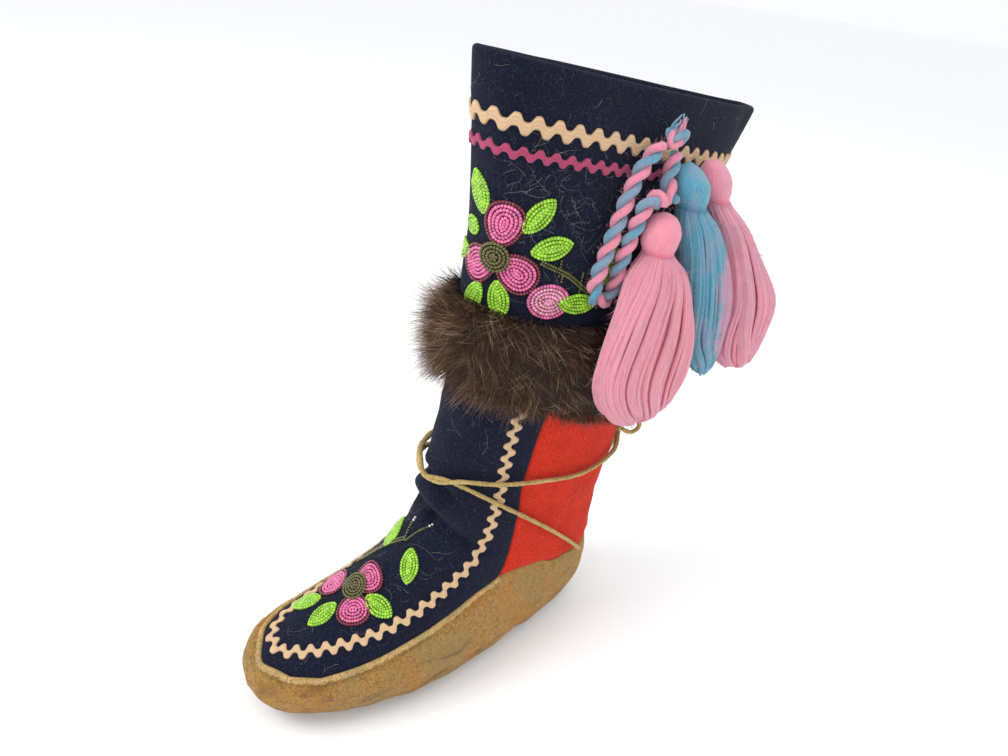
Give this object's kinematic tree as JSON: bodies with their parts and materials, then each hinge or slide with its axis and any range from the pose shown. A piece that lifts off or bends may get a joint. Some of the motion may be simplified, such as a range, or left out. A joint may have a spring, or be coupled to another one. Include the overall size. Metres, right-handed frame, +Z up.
{
  "type": "mukluk boot",
  "caption": "Soft wool boot for a left foot with a hide sole cupping the foot, a flared shaft, a fur band, an ankle tie and yarn tassels.",
  "frame": {"origin": "on the floor, under the middle of the heel", "axes": "+Z up; the toe points to -Y; +X is the outer (lateral) side of the left foot"},
  "size_m": [0.1478, 0.3305, 0.3863],
  "materials": {
    "hide": "smoked suede, rubbed and dirty low down",
    "felt": "plain pressed felt",
    "wool": "fulled wool broadcloth, navy with red side panels",
    "fur": "dense dark brown fur with lighter guard hairs",
    "thong": "cut hide thong",
    "cord_wool": "pink and blue wool yarn, twisted",
    "pink_wool": "loose pink wool yarn",
    "blue_wool": "loose blue wool yarn"
  },
  "bodies": {
    "root": {"sole": "hide", "insole": "felt", "upper": "wool", "shaft": "wool", "fur_band": "fur", "ankle_tie": "thong", "tie_knot": "thong", "tie_loop_outer": "thong", "tie_loop_inner": "thong", "tie_end_outer": "thong", "tie_end_inner": "thong", "tassel_knot": "cord_wool", "tassel_cord_long": "cord_wool", "tassel_cord_short": "cord_wool", "tassel_pink_front": "pink_wool", "tassel_blue": "blue_wool", "tassel_pink_rear": "pink_wool"}
  },
  "joints": []
}
